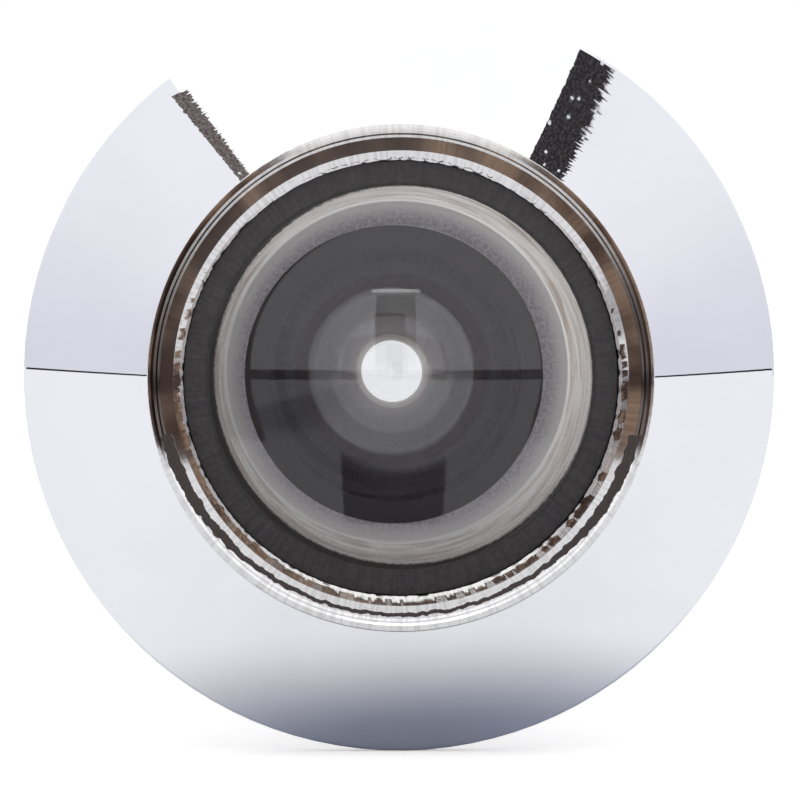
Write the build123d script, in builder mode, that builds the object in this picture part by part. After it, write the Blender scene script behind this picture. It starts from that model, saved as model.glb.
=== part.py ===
"""Door peephole (wide-angle door viewer) for a 14 mm hole, as an assembly of turned parts.

Frame: origin at the centre of the outer flange's back face, which is the door's outer face.
+Y runs into the door along the optical axis, +Z is up. All sizes are in millimetres.
Every piece is a turned profile drawn as (radius, distance along Y) and spun about Y.
"""
import os

from build123d import *

os.makedirs("parts", exist_ok=True)

# door and screw
door_rest = 44.0          # door thickness the assembly is shown at
thinnest_door = 35.0
thickest_door = 55.0
pitch = 1.0               # M12 x 1 thread that joins the two halves
thread_r = 6.0            # nominal major radius
thread_gap = 0.04         # each flank stands back this far, measured along the axis
thread_deep = 0.64        # from the nominal major radius down to the male root
thread_flat = 0.06        # the male crest is this far under the nominal major radius
thread_lead = 1.1         # plain length between the shoulder and the first tooth
thread_end = 0.75         # plain length between the last tooth and the tube's end
tooth_sink = 0.04         # each tooth is sunk this far into its wall
tooth_tall = 0.62         # how far the female tooth stands in from the sleeve's bore
flank = 0.577             # axial width gained per radial millimetre on a 60 degree thread
relief_deep = 0.06        # the thread's run-out groove behind the shoulder
relief_w = 0.5

# edges
edge_break = 0.12         # small bevel on outer flange edges
chamfer_w = 0.2           # bevel on inner and end edges

# outer flange, seen in the photo as a plain cone
flange_r = 11.0
rim_thick = 0.62
cone_rise = 1.84
rim_round = 0.15          # the edge between rim and cone is rounded in three facets this deep
shoulder_r = 6.9          # body that fills the door's 14 mm hole
shoulder_end = 9.0
shoulder_bevel = 0.3

# front bezel
lip_drop = 0.12           # the lip stands this far behind the ridge
lip_slope_w = 0.11        # width of the lip's own small slope
lip_to_crest = 0.27       # from the lip out to the ridge where inner and outer bevels meet
crest_to_side = 0.77      # from that ridge out to the bezel's side
crest_up = 0.62           # height of that ridge above the cone's upper edge
flat_drop = 0.07          # the flat between the ridge and the outer bevels
flat_in = 0.24            # where it starts and ends outside the ridge
flat_out = 0.40
upper_bevel_deep = 0.09   # three outer bevels step down from the flat to the bezel's side
middle_bevel_w = 0.10
middle_bevel_deep = 0.09
side_bevel_w = 0.07
side_bevel_deep = 0.15
bezel_seat = 1.6          # depth of the bezel's seat in front of the door face
bezel_wall = 0.24         # how far the gasket's foot reaches out under the lip
seat_w = 0.20             # width of the bezel's seat outside its skirt
skirt_end = 0.6           # the skirt stops this far in front of the door face
slip = 0.03               # radial clearance of a lens or ring in its bore

# front gasket
gasket_drop = 0.40        # its face lies this far behind the bezel's ridge
gasket_w = 0.61           # black ring between the glass and the bezel's lip
gasket_thick = 0.28
gasket_lap = 0.12         # how far its lip reaches over the lens edge
gasket_bevel = 0.10

# objective lens
lens_r = 5.70
lens_front_r = 16.0       # front curve
lens_mid = 1.49           # thickness on the axis, which sets the rear curve
ground_w = 0.60           # ground flat round the rear hollow
bevel_w = 1.00            # ground bevel outside that flat
bevel_deep = 0.80         # and how far that bevel climbs the lens's side
lens_back = 0.60          # the lens's back, past the door's face
lens_proud = 0.05         # how far the glass stops short of the bezel's ridge
land_w = 0.20             # width of the flat land at the lens edge

# second lens, stop and tube
spacer_len = 1.6
spacer_clear = 0.20       # the spacer's front edge stands this far outside the lens hollow
spacer_taper = 0.20
second_r = 4.95
second_mid = 1.0          # thickness on the axis
second_hollow_r = 30.0
second_hollow_edge = 4.30
stop_thick = 0.79
stop_r = 4.05
stop_taper = 0.30
stop_edge = 0.2
tube_bore_r = 4.60
tube_end = 33.5
liner_wall = 0.20
liner_end = 33.0

# inner half
washer_thick = 0.5
washer_r = 9.6
washer_gap = 0.10         # radial clearance of the washer on the sleeve
sleeve_len = 26.0
sleeve_bore_r = 6.10
sleeve_clear = 0.7        # left between the tube's end and the sleeve's shoulder at the thinnest door
female_turns = 7
female_lead = 0.7         # least plain length between the sleeve's mouth and the first tooth
inner_flange_r = 10.0     # a little smaller than the outer flange
inner_rim = 0.9
inner_rise = 1.3
boss_r = 7.4
slot_w = 1.8
slot_deep = 0.9
eye_r = 5.50
eye_clear_r = 4.65        # clear opening behind and in front of the eye lens
eye_curve = 22.0
eye_mid = 2.6             # thickness on the axis
eye_gap = 0.5             # from the sleeve's shoulder to the eye lens's nearest point
eye_land_w = 0.6          # width of the flat land at the eye lens's edge
eye_floor_thick = 1.0
eye_ring_len = 0.70
eye_ring_sunk = 0.05      # the retaining ring lies this far under the slots' floor
notch_w = 0.9
notch_deep = 0.3


def sag(curve, r):
    """Depth of a spherical surface at radius r."""
    return curve - (curve ** 2 - r ** 2) ** 0.5


def edge_half(r):
    """Half width of a basic male thread tooth at radius r."""
    return pitch / 16 + (thread_r - r) * flank


lip_r = lens_r + gasket_w
crest_r = lip_r + lip_to_crest
bezel_r = crest_r + crest_to_side
skirt_r = bezel_r - seat_w
lens_bevel_in = lens_r - bevel_w
lens_hollow_edge = lens_bevel_in - ground_w
cone_top = rim_thick + cone_rise
crest_y = -(cone_top + crest_up)
inner_r = sleeve_bore_r - tooth_tall
male_root = thread_r - thread_deep
male_crest = thread_r - thread_flat
relief_r = male_root - relief_deep

# outer half: one turned body with flange, shoulder, thread and stepped bore
lens_bore_r = lens_r + slip
second_bore_r = second_r + slip
second_y = lens_back + spacer_len
second_back = second_y + second_mid + sag(second_hollow_r, second_hollow_edge)
stop_y = second_back + stop_thick
with BuildPart() as outer_barrel:
    with BuildSketch(Plane.XY) as outer_barrel_profile:
        with BuildLine():
            Polyline(
                (lens_bore_r, -skirt_end),
                (skirt_r, -skirt_end),
                (skirt_r, -bezel_seat),
                (bezel_r, -bezel_seat),
                (bezel_r, -cone_top),
                (flange_r - rim_round / 2, -rim_thick + rim_round / 8),
                (flange_r - rim_round / 8, -rim_thick + rim_round / 2),
                (flange_r, -rim_thick + rim_round),
                (flange_r, -edge_break),
                (flange_r - edge_break, 0),
                (shoulder_r, 0),
                (shoulder_r, shoulder_end - shoulder_bevel),
                (shoulder_r - shoulder_bevel, shoulder_end),
                (relief_r, shoulder_end),
                (relief_r, shoulder_end + relief_w),
                (male_root, shoulder_end + relief_w + relief_deep),
                (male_root, tube_end - chamfer_w),
                (male_root - chamfer_w, tube_end),
                (tube_bore_r, tube_end),
                (tube_bore_r, stop_y),
                (second_bore_r, stop_y),
                (second_bore_r, second_y),
                (lens_bore_r, second_y),
                close=True,
            )
        make_face()
    revolve(axis=Axis.Y)
    # male thread: a tapered ridge that climbs the tube
    male_start = shoulder_end + thread_lead
    male_foot = male_root - tooth_sink
    male_path = Helix(
        pitch, tube_end - thread_end - male_start, male_foot,
        center=(0, male_start, 0), direction=(0, 1, 0), mode=Mode.PRIVATE,
    )
    male_tip_half = edge_half(male_crest) - thread_gap
    male_foot_half = edge_half(male_foot) - thread_gap
    with BuildSketch(
        Plane(origin=male_path @ 0, x_dir=(0, 0, 1), z_dir=male_path % 0)
    ) as male_tooth:
        with BuildLine():
            Polyline(
                (0, -male_foot_half),
                (male_crest - male_foot, -male_tip_half),
                (male_crest - male_foot, male_tip_half),
                (0, male_foot_half),
                close=True,
            )
        make_face()
    sweep(path=male_path, is_frenet=True)
outer_barrel.part.label = "outer_barrel"
export_step(outer_barrel.part, "parts/outer_barrel.step")

# bezel: polished ring pressed into the flange, with the bevels seen in the photo
lip_y = crest_y + lip_drop
gasket_front = crest_y + gasket_drop
gasket_shelf = gasket_front + gasket_thick
flat_y = crest_y + flat_drop
middle_y = flat_y + upper_bevel_deep
side_y = middle_y + middle_bevel_deep
skirt_bore_r = lip_r + bezel_wall
with BuildPart() as bezel_ring:
    with BuildSketch(Plane.XY) as bezel_profile:
        with BuildLine():
            Polyline(
                (lip_r, gasket_shelf),
                (lip_r, lip_y),
                (lip_r + lip_slope_w, crest_y + lip_drop / 2),
                (crest_r, crest_y),
                (crest_r + flat_in, flat_y),
                (crest_r + flat_out, flat_y),
                (bezel_r - side_bevel_w - middle_bevel_w, middle_y),
                (bezel_r - side_bevel_w, side_y),
                (bezel_r, side_y + side_bevel_deep),
                (bezel_r, -bezel_seat),
                (skirt_r, -bezel_seat),
                (skirt_r, -skirt_end),
                (skirt_bore_r, -skirt_end),
                (skirt_bore_r, gasket_shelf),
                close=True,
            )
        make_face()
    revolve(axis=Axis.Y)
bezel_ring.part.label = "bezel_ring"
export_step(bezel_ring.part, "parts/bezel_ring.step")

# front gasket: the black ring between bezel and glass, L-shaped so its lip holds the lens edge
lens_vertex = crest_y + lens_proud
land_y = lens_vertex + sag(lens_front_r, lens_r - land_w)
gasket_in = lens_r - gasket_lap
with BuildPart() as front_gasket:
    with BuildSketch(Plane.XY) as gasket_profile:
        with BuildLine():
            Polyline(
                (gasket_in, land_y),
                (gasket_in, gasket_front + gasket_bevel),
                (gasket_in + gasket_bevel, gasket_front),
                (lip_r - slip, gasket_front),
                (lip_r - slip, gasket_shelf),
                (skirt_bore_r - slip, gasket_shelf),
                (skirt_bore_r - slip, -skirt_end),
                (lens_bore_r, -skirt_end),
                (lens_bore_r, land_y),
                close=True,
            )
        make_face()
    revolve(axis=Axis.Y)
front_gasket.part.label = "front_gasket"
export_step(front_gasket.part, "parts/front_gasket.step")

# objective lens: domed front, deep rear hollow, ground flat and ground bevel round the hollow
hollow_depth = lens_back - (lens_vertex + lens_mid)
lens_hollow_r = (lens_hollow_edge ** 2 + hollow_depth ** 2) / (2 * hollow_depth)
with BuildPart() as objective_lens:
    with BuildSketch(Plane.XY) as objective_profile:
        with BuildLine():
            ThreePointArc(
                (0, lens_vertex),
                ((lens_r - land_w) / 2, lens_vertex + sag(lens_front_r, (lens_r - land_w) / 2)),
                (lens_r - land_w, land_y),
            )
            Polyline(
                (lens_r - land_w, land_y),
                (lens_r, land_y),
                (lens_r, lens_back - bevel_deep),
                (lens_bevel_in, lens_back),
                (lens_hollow_edge, lens_back),
            )
            ThreePointArc(
                (lens_hollow_edge, lens_back),
                (
                    lens_hollow_edge / 2,
                    lens_back - hollow_depth + sag(lens_hollow_r, lens_hollow_edge / 2),
                ),
                (0, lens_back - hollow_depth),
            )
            Line((0, lens_back - hollow_depth), (0, lens_vertex))
        make_face()
    revolve(axis=Axis.Y)
objective_lens.part.label = "objective_lens"
export_step(objective_lens.part, "parts/objective_lens.step")

# spacer ring: keeps the two front lenses apart, black so it doesn't show
spacer_in = lens_hollow_edge + spacer_clear
with BuildPart() as spacer_ring:
    with BuildSketch(Plane.XY) as spacer_profile:
        with BuildLine():
            Polyline(
                (spacer_in, lens_back),
                (lens_r, lens_back),
                (lens_r, second_y),
                (spacer_in + spacer_taper, second_y),
                close=True,
            )
        make_face()
    revolve(axis=Axis.Y)
spacer_ring.part.label = "spacer_ring"
export_step(spacer_ring.part, "parts/spacer_ring.step")

# second lens: flat front, shallow rear hollow
with BuildPart() as second_lens:
    with BuildSketch(Plane.XY) as second_profile:
        with BuildLine():
            Polyline(
                (0, second_y + second_mid),
                (0, second_y),
                (second_r, second_y),
                (second_r, second_back),
                (second_hollow_edge, second_back),
            )
            ThreePointArc(
                (second_hollow_edge, second_back),
                (
                    second_hollow_edge / 2,
                    second_y + second_mid + sag(second_hollow_r, second_hollow_edge / 2),
                ),
                (0, second_y + second_mid),
            )
        make_face()
    revolve(axis=Axis.Y)
second_lens.part.label = "second_lens"
export_step(second_lens.part, "parts/second_lens.step")

# stop ring: diaphragm that trims the light and carries the second lens on the barrel's shoulder
with BuildPart() as stop_ring:
    with BuildSketch(Plane.XY) as stop_profile:
        with BuildLine():
            Polyline(
                (stop_r + stop_taper, second_back),
                (second_r, second_back),
                (second_r, stop_y),
                (stop_r, stop_y),
                (stop_r, stop_y - stop_edge),
                close=True,
            )
        make_face()
    revolve(axis=Axis.Y)
stop_ring.part.label = "stop_ring"
export_step(stop_ring.part, "parts/stop_ring.step")

# baffle tube: dark sleeve inside the threaded tube that stops glare off bare metal
liner_r = tube_bore_r - slip
with BuildPart() as baffle_tube:
    with BuildSketch(Plane.XY) as baffle_profile:
        with BuildLine():
            Polyline(
                (liner_r - liner_wall, stop_y),
                (liner_r, stop_y),
                (liner_r, liner_end),
                (liner_r - liner_wall, liner_end),
                close=True,
            )
        make_face()
    revolve(axis=Axis.Y)
baffle_tube.part.label = "baffle_tube"
export_step(baffle_tube.part, "parts/baffle_tube.step")

# inner washer: soft ring between the inner flange and the door, it slides but needn't turn
inner_seat_y = door_rest + washer_thick
washer_bore_r = shoulder_r + washer_gap
with BuildPart() as inner_washer:
    with BuildSketch(Plane.XY) as washer_profile:
        with BuildLine():
            Polyline(
                (washer_bore_r, door_rest),
                (washer_r, door_rest),
                (washer_r, inner_seat_y),
                (washer_bore_r, inner_seat_y),
                close=True,
            )
        make_face()
    revolve(axis=Axis.Y)
inner_washer.part.label = "inner_washer"
export_step(inner_washer.part, "parts/inner_washer.step")

# inner half: sleeve with female thread, flange and raised eye rim with two coin slots
mouth_y = inner_seat_y - sleeve_len
sleeve_stop_y = tube_end + door_rest - thinnest_door + sleeve_clear
eye_floor_y = sleeve_stop_y + eye_floor_thick
eye_vertex = eye_floor_y + eye_gap
eye_dome_r = eye_r - eye_land_w
eye_land_front = eye_vertex + sag(eye_curve, eye_dome_r)
eye_land_back = eye_vertex + eye_mid - sag(eye_curve, eye_dome_r)
eye_ring_top = eye_land_back + eye_ring_len
boss_top = eye_ring_top + slot_deep + eye_ring_sunk
inner_cone_top = inner_seat_y + inner_rim + inner_rise
pocket_r = eye_r + slip
with BuildPart() as inner_barrel:
    with BuildSketch(Plane.XY) as inner_profile:
        with BuildLine():
            Polyline(
                (sleeve_bore_r, mouth_y + chamfer_w),
                (sleeve_bore_r + chamfer_w, mouth_y),
                (shoulder_r - chamfer_w, mouth_y),
                (shoulder_r, mouth_y + chamfer_w),
                (shoulder_r, inner_seat_y),
                (inner_flange_r - edge_break, inner_seat_y),
                (inner_flange_r, inner_seat_y + edge_break),
                (inner_flange_r, inner_seat_y + inner_rim - edge_break),
                (inner_flange_r - edge_break, inner_seat_y + inner_rim),
                (boss_r, inner_cone_top),
                (boss_r, boss_top - chamfer_w),
                (boss_r - chamfer_w, boss_top),
                (pocket_r + chamfer_w, boss_top),
                (pocket_r, boss_top - chamfer_w),
                (pocket_r, eye_floor_y),
                (eye_clear_r, eye_floor_y),
                (eye_clear_r, sleeve_stop_y),
                (sleeve_bore_r, sleeve_stop_y),
                close=True,
            )
        make_face()
    revolve(axis=Axis.Y)
    # female thread: a ridge inside the mouth, half a pitch out of step with the male one
    turns_past = int((mouth_y + female_lead - male_start) / pitch) + 1
    female_start = male_start + (turns_past + 0.5) * pitch
    female_foot = sleeve_bore_r + tooth_sink
    female_path = Helix(
        pitch, female_turns * pitch, female_foot,
        center=(0, female_start, 0), direction=(0, 1, 0), mode=Mode.PRIVATE,
    )
    female_tip_half = pitch / 2 - edge_half(inner_r) - thread_gap
    female_foot_half = pitch / 2 - edge_half(female_foot) - thread_gap
    with BuildSketch(
        Plane(origin=female_path @ 0, x_dir=(0, 0, -1), z_dir=female_path % 0)
    ) as female_tooth:
        with BuildLine():
            Polyline(
                (0, -female_foot_half),
                (female_foot - inner_r, -female_tip_half),
                (female_foot - inner_r, female_tip_half),
                (0, female_foot_half),
                close=True,
            )
        make_face()
    sweep(path=female_path, is_frenet=True)
    # coin slots across the raised rim
    with Locations((0, boss_top - slot_deep / 2, 0)):
        Box(2 * inner_flange_r, slot_deep, slot_w, mode=Mode.SUBTRACT)
inner_barrel.part.label = "inner_barrel"
export_step(inner_barrel.part, "parts/inner_barrel.step")

# eye seat ring: soft ring the eye lens rests on
with BuildPart() as eye_seat_ring:
    with BuildSketch(Plane.XY) as eye_seat_profile:
        with BuildLine():
            Polyline(
                (eye_clear_r, eye_floor_y),
                (eye_r, eye_floor_y),
                (eye_r, eye_land_front),
                (eye_dome_r, eye_land_front),
                (eye_clear_r, eye_land_front - chamfer_w),
                close=True,
            )
        make_face()
    revolve(axis=Axis.Y)
eye_seat_ring.part.label = "eye_seat_ring"
export_step(eye_seat_ring.part, "parts/eye_seat_ring.step")

# eye lens: the magnifier one looks into from indoors, domed on both sides
with BuildPart() as eye_lens:
    with BuildSketch(Plane.XY) as eye_profile:
        with BuildLine():
            ThreePointArc(
                (0, eye_vertex),
                (eye_dome_r / 2, eye_vertex + sag(eye_curve, eye_dome_r / 2)),
                (eye_dome_r, eye_land_front),
            )
            Polyline(
                (eye_dome_r, eye_land_front),
                (eye_r, eye_land_front),
                (eye_r, eye_land_back),
                (eye_dome_r, eye_land_back),
            )
            ThreePointArc(
                (eye_dome_r, eye_land_back),
                (eye_dome_r / 2, eye_vertex + eye_mid - sag(eye_curve, eye_dome_r / 2)),
                (0, eye_vertex + eye_mid),
            )
            Line((0, eye_vertex + eye_mid), (0, eye_vertex))
        make_face()
    revolve(axis=Axis.Y)
eye_lens.part.label = "eye_lens"
export_step(eye_lens.part, "parts/eye_lens.step")

# eye retaining ring: pressed in behind the eye lens, with two spanner notches
with BuildPart() as eye_retaining_ring:
    with BuildSketch(Plane.XY) as eye_ring_profile:
        with BuildLine():
            Polyline(
                (eye_dome_r, eye_land_back),
                (pocket_r, eye_land_back),
                (pocket_r, eye_ring_top),
                (eye_clear_r, eye_ring_top),
                (eye_clear_r, eye_land_back + chamfer_w),
                close=True,
            )
        make_face()
    revolve(axis=Axis.Y)
    with Locations((0, eye_ring_top, 0)):
        Box(notch_w, 2 * notch_deep, 2 * boss_r, mode=Mode.SUBTRACT)
eye_retaining_ring.part.label = "eye_retaining_ring"
export_step(eye_retaining_ring.part, "parts/eye_retaining_ring.step")
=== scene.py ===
"""Door peephole, dressed for the photograph's view of its outer end.

The sections follow the viewer as it is put together, from the chromed outer barrel to the eye
lens indoors, and end with the paper, the light tent and the camera.
"""
import math

import bpy
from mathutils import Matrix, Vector


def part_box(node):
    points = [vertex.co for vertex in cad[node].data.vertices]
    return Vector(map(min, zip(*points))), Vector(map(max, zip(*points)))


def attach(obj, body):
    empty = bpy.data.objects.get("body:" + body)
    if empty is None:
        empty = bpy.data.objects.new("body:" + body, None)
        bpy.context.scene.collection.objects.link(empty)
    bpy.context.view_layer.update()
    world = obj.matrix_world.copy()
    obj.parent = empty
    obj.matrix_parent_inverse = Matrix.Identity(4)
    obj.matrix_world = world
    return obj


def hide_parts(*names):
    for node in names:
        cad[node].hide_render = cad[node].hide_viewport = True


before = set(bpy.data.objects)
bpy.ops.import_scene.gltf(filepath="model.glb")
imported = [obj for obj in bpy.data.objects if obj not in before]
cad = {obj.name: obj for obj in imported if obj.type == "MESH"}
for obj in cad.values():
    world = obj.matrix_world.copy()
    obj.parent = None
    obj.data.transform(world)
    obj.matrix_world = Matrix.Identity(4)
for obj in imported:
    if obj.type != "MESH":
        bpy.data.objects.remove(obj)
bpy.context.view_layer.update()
MM = 0.001

# Outer barrel
# The outer half's one turned brass body, chrome plated: a plain cone for a flange, the shoulder
# that fills the door's hole, and the threaded tube. Fine turned grooves show in what it mirrors.
chrome_colour = (0.93, 0.935, 0.945)
worn_share = 0.97
worn_roughness = 0.02
wear_pitch = 1.6 * MM
groove_pitch = 0.13 * MM
groove_depth = 0.0001 * MM
groove_lumps = 3.0
cone_tilt = math.atan(0.520)
cone_from = 7.36 * MM
cone_back = -0.603 * MM


def add(tree, kind, inputs=None, **settings):
    """Add a shader node; an input given as a socket is linked and any other is set."""
    made = tree.nodes.new(kind)
    for name, value in settings.items():
        setattr(made, name, value)
    for key, value in (inputs or {}).items():
        if isinstance(value, bpy.types.NodeSocket):
            tree.links.new(value, made.inputs[key])
        else:
            made.inputs[key].default_value = value
    return made


def calc(tree, operation, *values):
    """One Math node's result."""
    return add(tree, "ShaderNodeMath", dict(enumerate(values)), operation=operation).outputs[0]


def product(tree, *factors):
    """Product of several values, or of several masks."""
    made = factors[0]
    for factor in factors[1:]:
        made = calc(tree, "MULTIPLY", made, factor)
    return made


def above(tree, value, limit):
    """A mask that is 1 where value is over the limit."""
    return calc(tree, "GREATER_THAN", value, limit)


def below(tree, value, limit):
    """A mask that is 1 where value is under the limit."""
    return calc(tree, "LESS_THAN", value, limit)


def ramp(tree, value, start, end, low=0.0, high=1.0):
    """Goes smoothly from low to high as value goes from start to end."""
    inputs = {"Value": value, "From Min": start, "From Max": end, "To Min": low, "To Max": high}
    made = add(tree, "ShaderNodeMapRange", inputs, interpolation_type="SMOOTHSTEP")
    return made.outputs["Result"]


def mix(tree, factor, first, second):
    """Colour that goes from first to second with factor."""
    made = tree.nodes.new("ShaderNodeMix")
    made.data_type = "RGBA"
    factor_at, first_at, second_at, result_at = 0, 6, 7, 2
    for key, value in ((factor_at, factor), (first_at, first), (second_at, second)):
        if isinstance(value, bpy.types.NodeSocket):
            tree.links.new(value, made.inputs[key])
        else:
            made.inputs[key].default_value = (*value, 1) if key != factor_at else value
    return made.outputs[result_at]


def blank_material(name):
    """A material with no nodes yet, and its tree."""
    made = bpy.data.materials.new(name)
    made.use_nodes = True
    made.node_tree.nodes.clear()
    return made, made.node_tree


def finish_surface(tree, shader):
    """Link a shader to the material's output."""
    add(tree, "ShaderNodeOutputMaterial", {"Surface": shader.outputs[0]})


def place(tree):
    """Object coordinates as x, y and z."""
    spot = add(tree, "ShaderNodeTexCoord").outputs["Object"]
    return add(tree, "ShaderNodeSeparateXYZ", {0: spot}).outputs


def radius_from(tree, x, z, shift=(0.0, 0.0)):
    """Distance from the viewer's axis, or from a line beside it."""
    across = calc(tree, "SUBTRACT", x, shift[0])
    up = calc(tree, "SUBTRACT", z, shift[1])
    squares = calc(tree, "ADD", product(tree, across, across), product(tree, up, up))
    return calc(tree, "SQRT", squares)


def turned_noise(tree, pitch, lumps, detail=2.0):
    """Noise drawn out round the axis, as a lathe leaves it; lumps tells how often it changes."""
    x, y, z = place(tree)
    radius = radius_from(tree, x, z)
    spot = add(tree, "ShaderNodeCombineXYZ", {
        0: calc(tree, "DIVIDE", calc(tree, "SUBTRACT", radius, y), pitch),
        1: product(tree, calc(tree, "DIVIDE", x, radius), lumps),
        2: product(tree, calc(tree, "DIVIDE", z, radius), lumps),
    }).outputs[0]
    made = add(tree, "ShaderNodeTexNoise", {"Vector": spot, "Scale": 1.0, "Detail": detail})
    return made.outputs[0]


def plated(name):
    """Turned brass under chrome, with fine grooves, faint wear and a true cone in front."""
    made, tree = blank_material(name)
    x, y, z = place(tree)
    radius = radius_from(tree, x, z)
    on_cone = product(tree, above(tree, radius, cone_from), below(tree, y, cone_back))
    outward = calc(tree, "DIVIDE", math.sin(cone_tilt), radius)
    slope = add(tree, "ShaderNodeCombineXYZ", {
        0: product(tree, x, outward),
        1: -math.cos(cone_tilt),
        2: product(tree, z, outward),
    }).outputs[0]
    normal = add(tree, "ShaderNodeNewGeometry").outputs["Normal"]
    bump = add(tree, "ShaderNodeBump", {
        "Height": turned_noise(tree, groove_pitch, groove_lumps),
        "Distance": groove_depth,
        "Normal": mix(tree, on_cone, normal, slope),
    })
    wear = turned_noise(tree, wear_pitch, groove_lumps, detail=4.0)
    worn_colour = tuple(part * worn_share for part in chrome_colour)
    shader = add(tree, "ShaderNodeBsdfPrincipled", {
        "Base Color": mix(tree, ramp(tree, wear, 0.35, 0.75), chrome_colour, worn_colour),
        "Metallic": 1.0,
        "Roughness": ramp(tree, wear, 0.4, 0.8, 0.0, worn_roughness),
        "Normal": bump.outputs[0],
    })
    finish_surface(tree, shader)
    return made


def dress(node, material):
    """Give a CAD node its finish."""
    cad[node].material_slots[0].material = material


dress("outer_barrel", plated("chrome_cone"))

# Bezel
# A brass ring pressed into the flange round the glass, polished bright. Its groove and lip are
# browned at the left and right as a painted reflection of the dark room, and a band of its
# groove over the lower part is dark and dull. Outside the ridge lie a flat, a groove and a bevel,
# and inside it a small burred lip.
bezel_lo, bezel_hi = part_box("bezel_ring")
bezel_front = bezel_lo.y
bezel_back = bezel_hi.y
bezel_radius = bezel_hi.x
lip_radius = bezel_radius - 1.04 * MM
ridge_radius = lip_radius + 0.28 * MM
skirt_radius = bezel_radius - 0.20 * MM
skirt_bore = lip_radius + 0.24 * MM
shelf_y = bezel_front + 0.68 * MM
seat_y = bezel_front + 1.48 * MM
burr_size = 0.010 * MM
burr_wide = 0.06 * MM
burr_deep = 0.2 * MM
weld_gap = 0.0003 * MM
bezel_steps = 480
bezel_crease = math.radians(12)
bright_metal = (0.80, 0.795, 0.78)
dim_metal = (0.69, 0.68, 0.665)
lip_reflection_brown = (0.22, 0.19, 0.17)
groove_reflection_brown = (0.075, 0.055, 0.047)
low_band_black = (0.055, 0.042, 0.038)
low_band_start = ridge_radius + 0.19 * MM
low_band_soft = 0.02 * MM
low_band_low_end = ridge_radius + 0.32 * MM
low_band_side_end = ridge_radius + 0.55 * MM
low_band_ragged = 0.24 * MM
low_band_wave = 0.06
low_band_top = -0.21
groove_start = ridge_radius + 0.375 * MM
groove_stop = ridge_radius + 0.66 * MM
groove_soft = 0.005 * MM
lip_painted_reflection_start = lip_radius + 0.10 * MM
lip_painted_reflection_full = lip_radius + 0.07 * MM
lip_painted_reflection_most = 0.7
groove_painted_reflection_side = 0.93
groove_painted_reflection_top = 0.12
scratch_depth = 0.0004 * MM
scratch_share = 0.35
polished_roughness = 0.09
low_band_roughness = 0.6
low_band_metallic = 0.2


def clear_selection():
    """Leave nothing selected, so that an operator meets only the new piece."""
    for obj in list(bpy.context.selected_objects):
        obj.select_set(False)


def pick(piece, wanted):
    """Go to edit mode with only the wanted vertices of a piece selected."""
    bpy.ops.object.mode_set(mode="EDIT")
    bpy.ops.mesh.select_all(action="DESELECT")
    bpy.ops.object.mode_set(mode="OBJECT")
    for vertex in piece.data.vertices:
        vertex.select = wanted(vertex.co)
    bpy.ops.object.mode_set(mode="EDIT")


def turn(name, profile, steps):
    """Spin a profile of (radius, y) points round the viewer's axis into a closed piece."""
    clear_selection()
    bpy.ops.mesh.primitive_plane_add(size=MM)
    piece = bpy.context.object
    piece.name = name
    piece.data.name = name
    bpy.ops.object.mode_set(mode="EDIT")
    bpy.ops.mesh.select_all(action="SELECT")
    bpy.ops.mesh.merge(type="CENTER")
    bpy.ops.transform.translate(value=(profile[0][0], profile[0][1], 0))
    for (radius, along), (next_radius, next_along) in zip(profile, profile[1:]):
        move = (next_radius - radius, next_along - along, 0)
        bpy.ops.mesh.extrude_region_move(TRANSFORM_OT_translate={"value": move})
    bpy.ops.mesh.select_all(action="SELECT")
    bpy.ops.mesh.spin(steps=steps, angle=math.tau, center=(0, 0, 0), axis=(0, 1, 0))
    bpy.ops.mesh.select_all(action="SELECT")
    bpy.ops.mesh.remove_doubles(threshold=weld_gap)
    bpy.ops.mesh.normals_make_consistent(inside=False)
    bpy.ops.mesh.select_all(action="DESELECT")
    bpy.ops.object.mode_set(mode="OBJECT")
    return piece


def grow(start, *steps):
    """Points of a profile, from its start and each step's width and slope in degrees."""
    points = [start]
    for width, slope in steps:
        radius, along = points[-1]
        points.append((radius + width, along + abs(width) * math.tan(math.radians(slope))))
    return points


def band(tree, value, low, high, soft):
    """A mask that is 1 between low and high, with soft edges."""
    return product(
        tree, ramp(tree, value, low - soft, low), ramp(tree, value, high + soft, high))


ridge = (ridge_radius, bezel_front)
lip_slopes = grow(ridge, (-0.19 * MM, 18), (-0.05 * MM, 30), (-0.04 * MM, 42))
groove_slopes = grow(
    ridge,
    (0.205 * MM, 17), (0.175 * MM, 17.5), (0.075 * MM, -16), (0.05 * MM, 18),
    (0.075 * MM, -11), (0.155 * MM, 21), (0.025 * MM, 55),
)
bezel_profile = [(lip_radius, shelf_y)] + lip_slopes[::-1] + groove_slopes[1:] + [
    (bezel_radius, seat_y),
    (skirt_radius, seat_y),
    (skirt_radius, bezel_back),
    (skirt_bore, bezel_back),
    (skirt_bore, shelf_y),
    (lip_radius, shelf_y),
]
bezel = turn("polished_bezel", bezel_profile, bezel_steps)
pick(bezel, lambda spot: (
    math.hypot(spot.x, spot.z) < lip_radius + burr_wide and spot.y < bezel_front + burr_deep))
bpy.ops.transform.vertex_random(offset=burr_size, uniform=1.0, normal=0.0, seed=4)
bpy.ops.object.mode_set(mode="OBJECT")
bpy.ops.object.shade_smooth_by_angle(angle=bezel_crease)

bezel_metal, tree = blank_material("brass_wear_and_painted_reflection")
x, y, z = place(tree)
radius = radius_from(tree, x, z)
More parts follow.
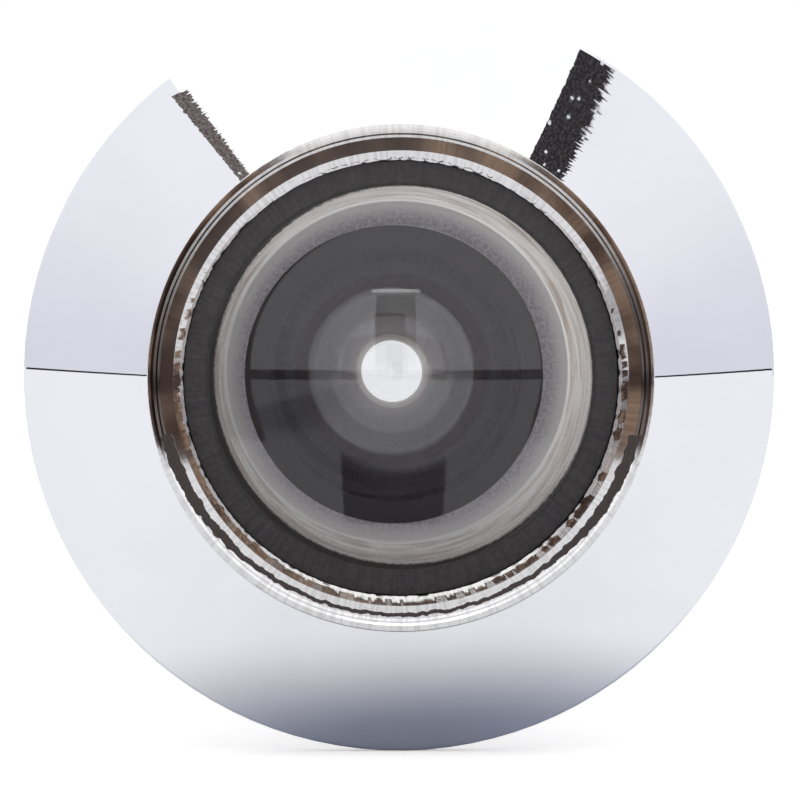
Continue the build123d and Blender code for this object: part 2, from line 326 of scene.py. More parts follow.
# Round the ring, across goes from -1 to 1 from left to right, and up from the foot to the top.
across = calc(tree, "DIVIDE", x, radius)
up = calc(tree, "DIVIDE", z, radius)
lumpy = turned_noise(tree, pitch=0.3 * MM, lumps=26.0, detail=5.0)
scratches = turned_noise(tree, pitch=0.03 * MM, lumps=22.0, detail=3.0)
strokes = turned_noise(tree, pitch=1.2 * MM, lumps=60.0, detail=3.0)
lump_reach = product(tree, calc(tree, "SUBTRACT", lumpy, 0.5), low_band_ragged)
ragged = calc(tree, "ADD", radius, lump_reach)
waved_up = calc(tree, "ADD", up, product(tree, lumpy, low_band_wave))
# A dark, dull band in the groove over the ring's lower part, with ragged edges.
low_band = product(
    tree,
    ramp(tree, ragged, low_band_start, low_band_start + low_band_soft),
    below(tree, ragged, ramp(tree, up, -1.0, -0.3, low_band_low_end, low_band_side_end)),
    below(tree, waved_up, low_band_top),
)
# Painted reflection of the dark brown room: brown in the groove, strong at the left and right,
# faint at the top and none at the foot.
groove_painted_reflection = product(
    tree,
    band(tree, radius, groove_start, groove_stop, groove_soft),
    ramp(tree, up, -0.36, -0.26),
    ramp(tree, up, 0.10, 1.0, groove_painted_reflection_side, groove_painted_reflection_top),
)
# Painted reflection of the dark brown room on the lip, at the left and right.
lip_painted_reflection = product(
    tree,
    ramp(tree, radius, lip_painted_reflection_start, lip_painted_reflection_full),
    ramp(tree, calc(tree, "ABSOLUTE", across), 0.50, 0.97, 0.0, lip_painted_reflection_most),
)
scratched = ramp(tree, scratches, 0.62, 0.70, 0.0, scratch_share)
dark_marks = ramp(tree, calc(tree, "MAXIMUM", low_band, scratched), 0.0, 1.0)
metal = mix(tree, ramp(tree, strokes, 0.34, 0.60), dim_metal, bright_metal)
metal = mix(tree, lip_painted_reflection, metal, lip_reflection_brown)
metal = mix(tree, groove_painted_reflection, metal, groove_reflection_brown)
bump = add(tree, "ShaderNodeBump", {"Height": scratches, "Distance": scratch_depth})
shader = add(tree, "ShaderNodeBsdfPrincipled", {
    "Base Color": mix(tree, dark_marks, metal, low_band_black),
    "Metallic": ramp(tree, low_band, 0.0, 1.0, 1.0, low_band_metallic),
    "Roughness": ramp(tree, low_band, 0.0, 1.0, polished_roughness, low_band_roughness),
    "Normal": bump.outputs[0],
})
finish_surface(tree, shader)
bezel.data.materials.append(bezel_metal)
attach(bezel, "outer_half")
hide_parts("bezel_ring")

# Front gasket
# The black ring between the bezel's lip and the glass, moulded in rubber with a lip that holds the
# lens's edge. The inner washer and the eye lens's seat are of the same rubber.
stroke_pitch = 1.5 * MM
scatter_glow_colour = (0.96, 0.90, 1.0, 1)
scatter_glow_way = (0.87, 0.5)
top_light_colour = (0.9, 0.85, 0.8)
top_light_most = 0.018


def dull(name, colours, lump, roughness, depth, lumps=30.0, tinted=None, scatter_glow=0.0, gloss=0.5):
    """Moulded or blackened stuff, with fine lumps and faint strokes across its ring, and a painted
    glow if one is asked for.
    """
    made, tree = blank_material(name)
    spot = add(tree, "ShaderNodeTexCoord").outputs["Object"]
    grain = add(tree, "ShaderNodeTexNoise", {
        "Vector": spot, "Scale": 1 / lump, "Detail": 5.0,
    }).outputs[0]
    strokes = turned_noise(tree, stroke_pitch, lumps, detail=4.0)
    tone = calc(tree, "ADD", product(tree, grain, 0.5), product(tree, strokes, 0.5))
    shade = mix(tree, ramp(tree, tone, 0.38, 0.66), *colours)
    if tinted:
        shade = tinted(tree, shade)
    inputs = {
        "Base Color": shade,
        "Roughness": roughness,
        "Specular IOR Level": gloss,
        "Normal": add(tree, "ShaderNodeBump", {"Height": grain, "Distance": depth}).outputs[0],
    }
    # Painted glow, weaker towards the lower left, that stands in for light scattered on the part.
    if scatter_glow:
        x, y, z = place(tree)
        side = calc(tree, "ADD", product(tree, x, scatter_glow_way[0]), product(tree, z, scatter_glow_way[1]))
        side = calc(tree, "DIVIDE", side, radius_from(tree, x, z))
        inputs["Emission Color"] = scatter_glow_colour
        inputs["Emission Strength"] = ramp(tree, side, -1.0, -0.45, 0.5 * scatter_glow, scatter_glow)
    finish_surface(tree, add(tree, "ShaderNodeBsdfPrincipled", inputs))
    return made


def paler_top_light(tree, shade):
    """Painted light that makes the upper half paler."""
    x, y, z = place(tree)
    up = calc(tree, "DIVIDE", z, radius_from(tree, x, z))
    return mix(tree, ramp(tree, up, -0.8, 0.9, 0.0, top_light_most), shade, top_light_colour)


# Painted light makes the rubber paler towards the top.
rubber = dull(
    "gasket_rubber", [(0.017, 0.015, 0.016), (0.036, 0.032, 0.031)],
    lump=0.12 * MM, roughness=0.55, depth=0.003 * MM, lumps=60.0, tinted=paler_top_light)
dress("front_gasket", rubber)

# A domed crown glass with a deep rear hollow. The flat and the bevel ground round that hollow are
# matt and show through the glass as a grey ring and a streaky beige one; the lens's edge and the
# hollow's steep edge are blackened. The two ground rings carry a painted glow, brightest towards
# the upper right, and the blackened hollow edge a fainter one.
lens_lo, lens_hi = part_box("objective_lens")
seat_gap = 0.01 * MM
front_y = lens_lo.y
back_y = lens_hi.y - seat_gap
lens_radius = lens_hi.x
lens_middle = 1.49 * MM
lens_land = 0.2 * MM
front_curve = 16.0 * MM
bevel_width = 1.0 * MM
bevel_depth = 0.8 * MM
ground_width = 0.6 * MM
flat_edge = lens_radius - bevel_width
hollow_edge = flat_edge - ground_width
hollow_y = front_y + lens_middle
hollow_shift = Vector((-0.15 * MM, 0, 0.04 * MM))
middle_sag = Vector((0.11 * MM, 0, -0.20 * MM))
sag_spread = 1.1 * hollow_edge
glass_steps = 192
hollow_rings = 41
dome_rings = 32
glass_crease = math.radians(20)
hair = 0.001 * MM
near = 0.01 * MM
line_shift = (-0.06 * MM, 0.12 * MM)
edge_shift = (0.19 * MM, 0.08 * MM)
rim_edge = flat_edge + 0.72 * MM
chip_reach = 0.16 * MM
black_from = 3.50 * MM
ground_slot = 1
frost_lump = 0.10 * MM
line_wide = 0.06 * MM
line_end = flat_edge + 0.07 * MM
line_soft = 0.04 * MM
rim_brown_wide = 0.24 * MM
rim_dark_in = 0.09 * MM
rim_dark_out = 0.06 * MM
stain_share = 0.8
speck_share = 0.22
rim_brown_share = 0.18
glow_low = 0.06
glow_high = 0.38
flat_glow_inside = 0.10
flat_glow_outside = 0.34
painted_edge = hollow_edge - 0.02 * MM
painted_black = (0.07, 0.066, 0.071)
painted_glow = 0.16
frost_dark = (0.47, 0.46, 0.50)
frost_light = (0.66, 0.64, 0.69)
frost_pale = (0.84, 0.82, 0.81)
edge_line = (1.0, 0.99, 0.97)
beige_dark = (0.70, 0.65, 0.61)
beige_light = (1.0, 0.985, 0.96)
beige_stain = (0.50, 0.42, 0.38)
beige_speck = (0.52, 0.48, 0.46)
rim_brown = (0.30, 0.26, 0.25)
rim_dark = (0.10, 0.09, 0.09)
wall_dark = (0.13, 0.12, 0.13)
light_way = (0.5, 0.87)


def clear_glass(name):
    """Polished crown glass."""
    made, tree = blank_material(name)
    shader = add(tree, "ShaderNodeBsdfPrincipled", {
        "Base Color": (1, 1, 1, 1), "Roughness": 0.0, "IOR": 1.52, "Transmission Weight": 1.0,
    })
    finish_surface(tree, shader)
    return made


def dome(curve, reach, vertex_y, count):
    """Points of a ball's surface from the axis out to reach."""
    return [
        (r, vertex_y + curve - math.sqrt(curve ** 2 - r ** 2))
        for r in (reach * k / count for k in range(count + 1))
    ]


hollow_deep = back_y - hollow_y
hollow_curve = (hollow_edge ** 2 + hollow_deep ** 2) / (2 * hollow_deep)
hollow_points = dome(hollow_curve, hollow_edge, hollow_y, hollow_rings)
front_points = dome(front_curve, lens_radius - lens_land, front_y, dome_rings)
lens_profile = hollow_points + [
    (flat_edge, back_y),
    (lens_radius, back_y - bevel_depth),
    (lens_radius, front_points[-1][1]),
] + front_points[::-1]
lens = turn("objective_glass", lens_profile, glass_steps)
pick(lens, lambda spot: (
    math.hypot(spot.x, spot.z) < hollow_edge + hair and spot.y > hollow_y - hair))
bpy.ops.transform.translate(value=hollow_shift)
hollow_middle = Vector((hollow_shift.x, hollow_y, hollow_shift.z))
pick(lens, lambda spot: (spot - hollow_middle).length < near)
bpy.ops.transform.translate(
    value=middle_sag, use_proportional_edit=True, use_proportional_connected=True,
    proportional_edit_falloff="SMOOTH", proportional_size=sag_spread,
)
bpy.ops.object.mode_set(mode="OBJECT")
bpy.ops.object.shade_smooth_by_angle(angle=glass_crease)

ground, tree = blank_material("ground_glass")
x, y, z = place(tree)
radius = radius_from(tree, x, z, (hollow_shift.x, hollow_shift.z))
line_radius = radius_from(tree, x, z, line_shift)
edge_radius = radius_from(tree, x, z, edge_shift)
spot = add(tree, "ShaderNodeTexCoord").outputs["Object"]
frost = add(tree, "ShaderNodeTexNoise", {
    "Vector": spot, "Scale": 1 / frost_lump, "Detail": 6.0,
}).outputs[0]
streaks = turned_noise(tree, pitch=0.13 * MM, lumps=2.6, detail=4.0)
patches = turned_noise(tree, pitch=0.7 * MM, lumps=1.8, detail=4.0)
chips = turned_noise(tree, pitch=0.25 * MM, lumps=45.0, detail=3.0)
chip_out = product(tree, calc(tree, "SUBTRACT", chips, 0.5), chip_reach)
chipped = calc(tree, "ADD", edge_radius, chip_out)
grey = mix(tree, ramp(tree, frost, 0.36, 0.64), frost_dark, frost_light)
grey = mix(tree, ramp(tree, line_radius, hollow_edge, flat_edge), grey, frost_pale)
beige = mix(tree, ramp(tree, streaks, 0.35, 0.65), beige_dark, beige_light)
beige = mix(tree, ramp(tree, patches, 0.54, 0.68, 0.0, stain_share), beige, beige_stain)
beige = mix(tree, ramp(tree, frost, 0.40, 0.66, 0.0, speck_share), beige, beige_speck)
on_line = ramp(tree, line_radius, flat_edge - line_wide, flat_edge)
past_line = ramp(tree, line_radius, line_end - line_soft, line_end)
shade = mix(tree, on_line, grey, edge_line)
shade = mix(tree, past_line, shade, beige)
near_rim = ramp(tree, chipped, rim_edge - rim_brown_wide, rim_edge, 0.0, rim_brown_share)
past_rim = ramp(tree, chipped, rim_edge - rim_dark_in, rim_edge + rim_dark_out)
shade = mix(tree, near_rim, shade, rim_brown)
shade = mix(tree, past_rim, shade, rim_dark)
painted = below(tree, radius, painted_edge)
shade = mix(tree, painted, shade, painted_black)
side_wall = below(tree, y, back_y - bevel_depth - near)
outer_wall = product(tree, side_wall, above(tree, radius, flat_edge + 0.2 * MM))
shade = mix(tree, outer_wall, shade, wall_dark)
# Painted glow on the ground rings, brightest towards the upper right, and a fainter one on the
# blackened hollow edge.
toward = calc(tree, "ADD", product(tree, x, light_way[0]), product(tree, z, light_way[1]))
toward = calc(tree, "DIVIDE", toward, line_radius)
on_flat = ramp(
    tree, line_radius, hollow_edge - 0.1 * MM, flat_edge, flat_glow_inside, flat_glow_outside)
ring_glow = product(
    tree,
    calc(tree, "MAXIMUM", above(tree, line_radius, flat_edge), on_flat),
    calc(tree, "SUBTRACT", 1.0, side_wall),
    ramp(tree, toward, -0.8, 1.0, glow_low, glow_high),
)
shader = add(tree, "ShaderNodeBsdfPrincipled", {
    "Base Color": shade,
    "Roughness": 0.7,
    "IOR": 1.05,
    "Emission Color": shade,
    "Emission Strength": calc(tree, "ADD", ring_glow, product(tree, painted, painted_glow)),
})
finish_surface(tree, shader)
crown = clear_glass("crown_glass")
lens.data.materials.append(crown)
lens.data.materials.append(ground)
for face in lens.data.polygons:
    middle = face.center
    hollow_radius = math.hypot(middle.x - hollow_shift.x, middle.z - hollow_shift.z)
    rear = middle.y > back_y - 2 * bevel_depth and hollow_radius > black_from
    if rear or math.hypot(middle.x, middle.z) > lens_radius - near:
        face.material_index = ground_slot
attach(lens, "outer_half")
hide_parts("objective_lens")

# Spacer, second lens and stop
# Behind the objective lie a spacer and a stop of black anodised aluminium, with a painted glow,
# weaker towards the lower left, that makes them look greyer where light scatters on them, and
# between the two a thinner glass, flat in front and hollow behind.
spacer_black = [(0.113, 0.107, 0.111), (0.135, 0.128, 0.132)]
stop_black = [(0.17, 0.16, 0.165), (0.23, 0.22, 0.225)]
anodised_lump = 0.1 * MM
second_lo, second_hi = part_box("second_lens")
second_curve = 30.0 * MM
second_edge = 4.3 * MM
second_middle = 1.0 * MM
spacer_black_painted_glow = dull(
    "spacer_black_painted_glow", spacer_black, anodised_lump, roughness=0.5, depth=0.0003 * MM, scatter_glow=0.016)
dress("spacer_ring", spacer_black_painted_glow)
second_back = dome(second_curve, second_edge, second_lo.y + second_middle, dome_rings)
second_profile = [
    (0, second_lo.y), (second_hi.x, second_lo.y), (second_hi.x, second_hi.y),
] + second_back[::-1]
second = turn("second_glass", second_profile, glass_steps)
bpy.ops.object.shade_smooth_by_angle(angle=glass_crease)
second.data.materials.append(crown)
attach(second, "outer_half")
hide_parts("second_lens")
stop_glow_black = dull("stop_black_painted_glow", stop_black, anodised_lump, roughness=0.6, depth=0.001 * MM, scatter_glow=0.021)
dress("stop_ring", stop_glow_black)

# Baffle tube
# A brown-grey plastic sleeve pushed into the tube, which keeps glare off its bare wall. Its own
# wall is what lies round the bright disc, and painted shade darkens it between its two ends.
baffle_colours = [(0.50, 0.42, 0.46), (0.62, 0.53, 0.58)]
baffle_painted_shade = (0.02, 0.018, 0.018)
painted_shade_most = 0.46


def painted_shade_middle(tree, shade):
    """Painted shade that sets in behind the front end and fades towards the back."""
    y = place(tree)[1]
    middle_shade = product(tree, ramp(tree, y, 6 * MM, 9 * MM), ramp(tree, y, 26 * MM, 11 * MM))
    return mix(tree, product(tree, middle_shade, painted_shade_most), shade, baffle_painted_shade)


baffle = dull(
    "baffle_brown", baffle_colours,
    lump=0.4 * MM, roughness=0.6, depth=0.002 * MM, lumps=12.0, tinted=painted_shade_middle, gloss=0.33)
dress("baffle_tube", baffle)

# Inner barrel and washer
# The indoor half's turned brass body, chrome plated outside: the sleeve that screws on the tube,
# its flange and its slotted boss. Its bore is bare and carries a painted glow, pale round the eye
# hole and dimmer outwards, and a rubber washer lies under its flange.
eye_lo, eye_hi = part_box("eye_lens")
bore_radius = 6.1 * MM
floor_painted_light = (1.0, 0.98, 0.96)
floor_painted_dim = (0.70, 0.67, 0.66)
floor_painted_light_to = 4.65 * MM
floor_painted_dim_from = 5.15 * MM
floor_painted_glow = 0.09
sleeve, tree = blank_material("chrome_sleeve")
x, y, z = place(tree)
radius = radius_from(tree, x, z)
grooves = turned_noise(tree, groove_pitch, groove_lumps)
bump = add(tree, "ShaderNodeBump", {"Height": grooves, "Distance": groove_depth})
# Painted glow on the bare bore, pale near the middle and dimmer outwards, for light from the eye
# end.
bare = product(tree, below(tree, radius, bore_radius), below(tree, y, eye_lo.y))
floor_painted_tone = mix(tree, ramp(tree, radius, floor_painted_light_to, floor_painted_dim_from), floor_painted_light, floor_painted_dim)
shade = mix(tree, bare, chrome_colour, floor_painted_tone)
shader = add(tree, "ShaderNodeBsdfPrincipled", {
    "Base Color": shade,
    "Metallic": ramp(tree, bare, 0.0, 1.0, 1.0, 0.0),
    "Roughness": ramp(tree, bare, 0.0, 1.0, 0.05, 0.6),
    "Normal": bump.outputs[0],
    "Emission Color": shade,
    "Emission Strength": product(tree, bare, floor_painted_glow),
})
finish_surface(tree, shader)
dress("inner_washer", rubber)
dress("inner_barrel", sleeve)

# Eye lens
# The magnifier at the indoor end, domed on both sides, on its rubber seat in the boss. A black
# anodised ring holds it there.
eye_curve = 22.0 * MM
eye_clear = 4.9 * MM
ring_black = [(0.024, 0.023, 0.026), (0.040, 0.039, 0.043)]
dress("eye_seat_ring", rubber)
eye_front = dome(eye_curve, eye_clear, eye_lo.y, dome_rings)
eye_back = [(r, eye_hi.y - (along - eye_lo.y)) for r, along in eye_front]
eye_edge = [(eye_hi.x, eye_front[-1][1]), (eye_hi.x, eye_back[-1][1])]
eye = turn("eye_glass", eye_front + eye_edge + eye_back[::-1], glass_steps)
bpy.ops.object.shade_smooth_by_angle(angle=glass_crease)
eye.data.materials.append(crown)
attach(eye, "inner_half")
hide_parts("eye_lens")
black = dull("black_anodised", ring_black, anodised_lump, roughness=0.4, depth=0.001 * MM)
dress("eye_retaining_ring", black)

# Paper
# White paper that the flange's rim stands on. What the chrome and the glass mirror of it has an
# end, a strip of painted shade, a painted contact shadow round the viewer's foot, and past the
# strip a gap on each side, through which the room shows.
flange_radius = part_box("outer_barrel")[1].x
paper_size = 8.0
paper_white = (0.93, 0.935, 0.95)
mirrored_white = (0.345, 0.37, 0.455)
past_end = (0.03, 0.02, 0.03)
paper_warm = (1.0, 0.97, 0.89, 1)
lens_white = (0.84, 0.85, 0.88)
seen_glow = 0.37
mirrored_glow = 0.56
foot_side = 1.0 * MM
foot_narrow = 0.36
foot_dark = 1.3 * MM
foot_lit = 5.1 * MM
end_height = 0.2867
end_skew = 0.0142
end_slope = 0.17
end_most = 0.030
line_height = 0.006
least_ahead = 0.1 * MM
strip_start = 32 * MM
strip_full = 46 * MM
strip_side = 38 * MM
strip_side_end = 45 * MM
strip_left = -10 * MM
strip_left_full = -22 * MM
strip_dark = 0.5
gap_start = 30 * MM
gap_full = 34 * MM
gap_inner_lean = 0.64
gap_outer_lean = 1.08
gap_soft = 0.02


def stage_plane(name, size, move, upright=False):
    """A flat square of the surroundings, stood up if need be and moved to its place."""
    clear_selection()
    bpy.ops.mesh.primitive_plane_add(size=size, location=(0, 0, 0))
    plane = bpy.context.object
    plane.name = name
    bpy.ops.object.mode_set(mode="EDIT")
    bpy.ops.mesh.select_all(action="SELECT")
    if upright:
        bpy.ops.transform.rotate(
            value=math.radians(90), orient_axis="X", center_override=(0, 0, 0))
    bpy.ops.transform.translate(value=move)
    bpy.ops.object.mode_set(mode="OBJECT")
    return plane


def ray_kinds(tree):
    """Masks for rays from the camera, for mirrored rays and for rays through glass."""
    path = add(tree, "ShaderNodeLightPath").outputs
    through = path["Is Transmission Ray"]
    not_through = calc(tree, "SUBTRACT", 1.0, through)
    return path["Is Camera Ray"], product(tree, path["Is Glossy Ray"], not_through), through


paper = stage_plane("paper", paper_size, (0, 0, -flange_radius))
paper_material, tree = blank_material("white_paper")
paper.data.materials.append(paper_material)
x, y, z = place(tree)
straight, mirrored, through = ray_kinds(tree)
side = calc(tree, "ABSOLUTE", x)
ahead = calc(tree, "MAXIMUM", product(tree, y, -1.0), least_ahead)
lean = calc(tree, "DIVIDE", side, ahead)
# Painted contact shadow: what is mirrored of the paper is dark near the rim's foot.
foot_x = product(tree, calc(tree, "SUBTRACT", x, foot_side), foot_narrow)
off_foot = ramp(tree, radius_from(tree, foot_x, y), foot_dark, foot_lit)
height = calc(tree, "DIVIDE", flange_radius, radius_from(tree, x, y))
end = calc(tree, "ADD", end_height, product(tree, calc(tree, "SIGN", x), end_skew))
end = calc(tree, "SUBTRACT", end, product(tree, lean, end_slope))
end = calc(tree, "MINIMUM", end, end_most)
above_end = calc(tree, "SUBTRACT", height, end)
kept = ramp(tree, above_end, 0.8 * line_height, line_height)
# Painted shade: a strip of the mirrored paper ahead of the viewer, darkest to the left.
shaded = product(
    tree,
    ramp(tree, ahead, strip_start, strip_full),
    ramp(tree, side, strip_side_end, strip_side),
    ramp(tree, x, strip_left, strip_left_full, 0.0, strip_dark),
    ramp(tree, lean, 0.75, 0.6),
)
bright = product(tree, kept, calc(tree, "SUBTRACT", 1.0, shaded))
dark = product(tree, mirrored, calc(tree, "SUBTRACT", 1.0, bright))
seen = product(tree, calc(tree, "MAXIMUM", straight, through), seen_glow)
glow = calc(tree, "ADD", product(tree, mirrored, off_foot, bright, mirrored_glow), seen)
tint = mix(tree, mirrored, paper_white, mirrored_white)
tint = mix(tree, dark, tint, past_end)
sheet = add(tree, "ShaderNodeBsdfDiffuse", {"Color": tint})
shine = add(tree, "ShaderNodeEmission", {"Color": paper_warm, "Strength": glow})
whole = add(tree, "ShaderNodeAddShader", {0: sheet.outputs[0], 1: shine.outputs[0]})
beyond = add(tree, "ShaderNodeEmission", {"Color": (*lens_white, 1), "Strength": 1.0})
whole = add(tree, "ShaderNodeMixShader", {
    0: through, 1: whole.outputs[0], 2: beyond.outputs[0],
})
room_gap = product(
    tree,
    band(tree, lean, gap_inner_lean, gap_outer_lean, gap_soft),
    ramp(tree, ahead, gap_start, gap_full),
)
gone = product(tree, calc(tree, "MAXIMUM", below(tree, above_end, 0.0), room_gap), mirrored)
gap = add(tree, "ShaderNodeBsdfTransparent")
shader = add(tree, "ShaderNodeMixShader", {0: gone, 1: whole.outputs[0], 2: gap.outputs[0]})
finish_surface(tree, shader)

# Dark card
# A small dark card that stands on the paper in front of the lens. It has no part in the viewer and
# shows only where glass or metal mirrors it, as a dark stripe with a curved top.
card_size = 24 * MM
card_y = -12.5 * MM
card_side = 3.55 * MM
card_middle = -0.3 * MM
card_soft = 0.1 * MM
card_top = -6.5 * MM
card_top_bend = 87.0
card_top_soft = 0.5 * MM


def screen(red, green, blue):
    """Linear colour of a screen colour given in 0 to 255."""
    return tuple(((value / 255 + 0.055) / 1.055) ** 2.4 for value in (red, green, blue))


def show_only(tree, mask, colour):
    """Finish a plane that has a plain colour where its mask is 1, and isn't there elsewhere."""
    gap = add(tree, "ShaderNodeBsdfTransparent")
    dark = add(tree, "ShaderNodeEmission", {"Color": colour, "Strength": 1.0})
    shown = {0: mask, 1: gap.outputs[0], 2: dark.outputs[0]}
    finish_surface(tree, add(tree, "ShaderNodeMixShader", shown))


card = stage_plane("dark_card", card_size, (0, card_y, 0), upright=True)
card_material, tree = blank_material("card_black")
card.data.materials.append(card_material)
x, y, z = place(tree)
mirrored = ray_kinds(tree)[1]
from_middle = calc(tree, "ABSOLUTE", calc(tree, "ADD", x, -card_middle))
top = calc(tree, "ADD", product(tree, product(tree, x, x), card_top_bend), card_top)
shape = product(
    tree,
    ramp(tree, from_middle, card_side + card_soft, card_side - card_soft),
    ramp(tree, calc(tree, "SUBTRACT", top, z), -card_top_soft, card_top_soft),
    mirrored,
)
show_only(tree, shape, (*screen(40, 38, 38), 1))

# Frame of the light tent
# The tent's two dark bars over the viewer, which show only in what the chrome mirrors. One is
# broad, slanted and frayed on its outer side; the other is thin and worn.
bar_height = 60 * MM
bar_end = -52 * MM
bar_slant = 0.37
broad_inner_slope = -0.372
broad_inner_side = 21.25 * MM
broad_outer_slope = -0.896
broad_outer_side = 7.6 * MM
thin_inner_side = -44.8 * MM
thin_outer_side = -49.3 * MM
thin_start = -27.9 * MM
fleck_wide = 1.9 * MM
fleck_long = 0.3 * MM
fleck_share = 0.86
fleck_white = (0.75, 0.77, 0.80)
broad_dark = screen(44, 41, 45)
broad_light = screen(78, 74, 78)
thin_dark = screen(84, 77, 76)
thin_light = screen(128, 120, 119)


def frayed(tree, across, along, period, amount):
    """The place across a bar, moved by the random reach of threads along its edge."""
    threads = add(tree, "ShaderNodeTexNoise", {
        "W": calc(tree, "DIVIDE", along, period), "Scale": 1.0, "Detail": 2.0,
    }, noise_dimensions="1D").outputs[0]
    reach = product(tree, calc(tree, "SUBTRACT", threads, 0.5), amount)
    return calc(tree, "ADD", across, reach)


bars = stage_plane("tent_bars", 2 * bar_height, (0, -bar_height, bar_height))
bar_black, tree = blank_material("bar_black")
bars.data.materials.append(bar_black)
x, y, z = place(tree)
mirrored = ray_kinds(tree)[1]
along = calc(tree, "ADD", y, product(tree, calc(tree, "ABSOLUTE", x), bar_slant))
inner_side = calc(tree, "ADD", product(tree, y, broad_inner_slope), broad_inner_side)
outer_side = calc(tree, "ADD", product(tree, y, broad_outer_slope), broad_outer_side)
broad = product(
    tree,
    above(tree, frayed(tree, x, along, period=0.3 * MM, amount=0.9 * MM), inner_side),
    below(tree, frayed(tree, x, along, period=0.13 * MM, amount=6.5 * MM), outer_side),
)
worn_along = product(tree, along, 1.3)
thin = product(
    tree,
    above(tree, frayed(tree, x, along, period=0.2 * MM, amount=1.2 * MM), thin_outer_side),
    below(
        tree, frayed(tree, x, worn_along, period=0.12 * MM, amount=3.5 * MM), thin_inner_side),
    below(tree, along, thin_start),
)
spot = add(tree, "ShaderNodeCombineXYZ", {
    0: calc(tree, "DIVIDE", x, fleck_wide), 1: calc(tree, "DIVIDE", along, fleck_long),
}).outputs[0]
cells = add(tree, "ShaderNodeTexVoronoi", {"Vector": spot, "Scale": 1.0})
chance = add(tree, "ShaderNodeSeparateColor", {0: cells.outputs["Color"]}).outputs[0]
fleck = product(
    tree, ramp(tree, cells.outputs["Distance"], 0.36, 0.26), above(tree, chance, fleck_share))
dust = add(tree, "ShaderNodeTexNoise", {"Vector": spot, "Scale": 2.2, "Detail": 3.0}).outputs[0]
broad_tone = mix(tree, ramp(tree, dust, 0.4, 0.7), broad_dark, broad_light)
thin_tone = mix(tree, ramp(tree, dust, 0.35, 0.65), thin_dark, thin_light)
tone = mix(tree, below(tree, x, 0.0), broad_tone, thin_tone)
tone = mix(tree, fleck, tone, fleck_white)
shown = product(tree, mirrored, calc(tree, "MAXIMUM", broad, thin), above(tree, y, bar_end))
show_only(tree, shown, tone)

# Light tent
# White ceiling, lavender sides that brighten upwards, and a white cloth in front with two dark
# slits, a level one and an upright one with a lamp at its top. The brown room shows round it.
side_low = screen(220, 221, 232)
side_high = screen(243, 243, 249)
ceiling_white = (1.10, 1.10, 1.10)
cloth_white = (1.2, 1.2, 1.25)
lamp_white = (5.0, 5.0, 5.0)
room_dark = screen(64, 48, 43)
room_light = screen(142, 119, 103)
slit_brown = screen(62, 48, 46)
ceiling_left = -0.775
ceiling_right = 0.66
ceiling_soft = 0.01
cloth_reach = 32.0
cloth_soft = 0.5
lamp_foot = 0.304
lamp_top = 0.317
slit_foot = -0.077
slit_top = -0.002
slit_soft = 0.006
room_side = 1.08
room_side_soft = 0.06
room_tilt = 0.12
least_way = 0.001
world = bpy.data.worlds.new("light_tent")
bpy.context.scene.world = world
world.use_nodes = True
tree = world.node_tree
tree.nodes.clear()
way = add(tree, "ShaderNodeTexCoord").outputs["Generated"]
dx, dy, dz = add(tree, "ShaderNodeSeparateXYZ", {0: way}).outputs
forward = product(tree, dy, -1.0)
ahead = calc(tree, "MAXIMUM", forward, least_way)
off_axis = calc(tree, "ARCCOSINE", calc(tree, "MINIMUM", forward, 1.0))
spread = calc(tree, "ABSOLUTE", calc(tree, "DIVIDE", dx, ahead))
rise = calc(tree, "DIVIDE", dz, ahead)
lean = calc(tree, "DIVIDE", dx, calc(tree, "MAXIMUM", dz, least_way))
sides = mix(tree, ramp(tree, dz, -0.02, 0.58), side_low, side_high)
on_ceiling = band(tree, lean, ceiling_left, ceiling_right, ceiling_soft)
tent = mix(tree, on_ceiling, sides, ceiling_white)
blocks = add(tree, "ShaderNodeTexNoise", {"Vector": way, "Scale": 9.0, "Detail": 2.0}).outputs[0]
blocks = calc(tree, "ADD", blocks, product(tree, dx, room_tilt))
room = mix(tree, ramp(tree, blocks, 0.40, 0.62), room_dark, room_light)
within_sides = ramp(tree, spread, room_side, room_side - room_side_soft)
room_mask = product(
    tree, within_sides, ramp(tree, rise, 0.83, 0.77), ramp(tree, rise, -0.9, -0.8))
cloth = product(
    tree,
    ramp(tree, off_axis, math.radians(cloth_reach), math.radians(cloth_reach - cloth_soft)),
    ramp(tree, rise, -0.2, -0.1),
)
straight, _, through = ray_kinds(tree)
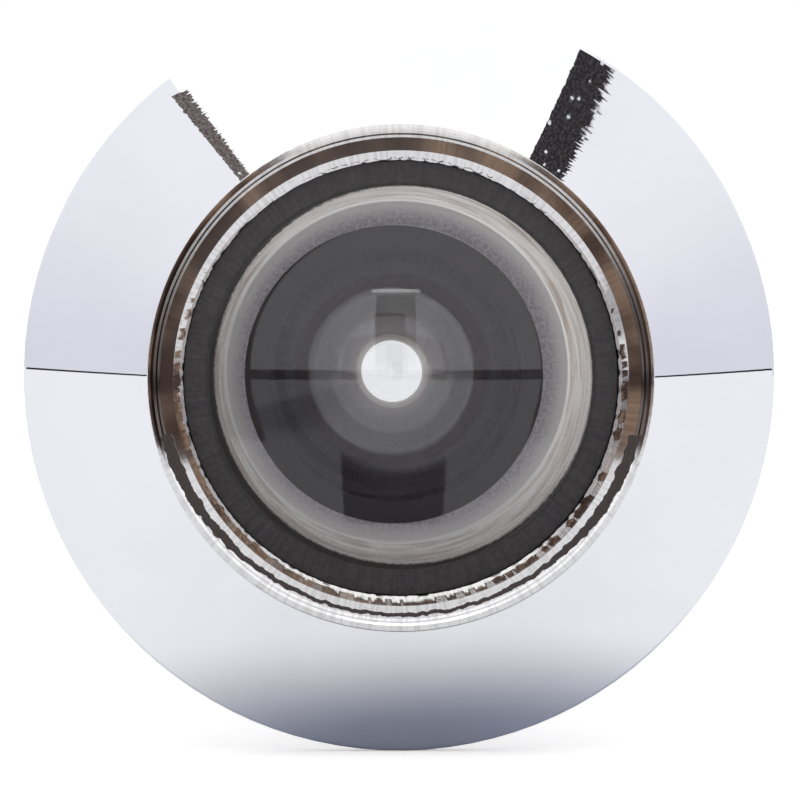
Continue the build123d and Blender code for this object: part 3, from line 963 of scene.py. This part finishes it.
lamp = product(
    tree,
    band(tree, rise, lamp_foot, lamp_top, 0.002),
    ramp(tree, spread, 0.10, 0.09),
    calc(tree, "SUBTRACT", 1.0, through),
)
slit = band(tree, rise, slit_foot, slit_top, slit_soft)
post = product(
    tree,
    ramp(tree, spread, 0.080, 0.074),
    ramp(tree, rise, 0.0, 0.05),
    ramp(tree, rise, 0.300, 0.290),
)
dark_slits = product(
    tree, calc(tree, "MAXIMUM", slit, post), within_sides, ramp(tree, dy, -0.5, -0.55))
behind = product(tree, through, ramp(tree, dy, -0.1, 0.1))
surroundings = mix(tree, room_mask, tent, room)
surroundings = mix(tree, cloth, surroundings, cloth_white)
surroundings = mix(tree, lamp, surroundings, lamp_white)
surroundings = mix(tree, dark_slits, surroundings, slit_brown)
surroundings = mix(tree, straight, surroundings, (1, 1, 1))
surroundings = mix(tree, behind, surroundings, lens_white)
shader = add(tree, "ShaderNodeBackground", {"Color": surroundings, "Strength": 1.0})
add(tree, "ShaderNodeOutputWorld", {"Surface": shader.outputs[0]})

# Camera
# It looks at the outer end, a little from above and from the left, from so far that the flange
# fills the same share of the picture's width as in the photograph.
rim_y = -0.45 * MM
camera_distance = 200 * MM
camera_azimuth = math.radians(-1.1)
camera_height = math.radians(1.9)
frame_pixels = 800
flange_radius_pixels = 375.5
frame_width = flange_radius * frame_pixels / flange_radius_pixels
aim = Vector((0.018 * MM, rim_y, -0.709 * MM))
away = Vector((
    math.sin(camera_azimuth) * math.cos(camera_height),
    -math.cos(camera_azimuth) * math.cos(camera_height),
    math.sin(camera_height),
))
lens_data = bpy.data.cameras.new("photo_lens")
lens_data.sensor_width = 36
lens_data.lens = lens_data.sensor_width * camera_distance / frame_width
lens_data.clip_start = 10 * MM
lens_data.clip_end = 20
camera = bpy.data.objects.new("photo_camera", lens_data)
bpy.context.scene.collection.objects.link(camera)
camera.location = aim + away * camera_distance
camera.rotation_euler = (-away).to_track_quat("-Z", "Y").to_euler()
bpy.context.scene.camera = camera
bpy.context.scene.view_settings.view_transform = "Standard"
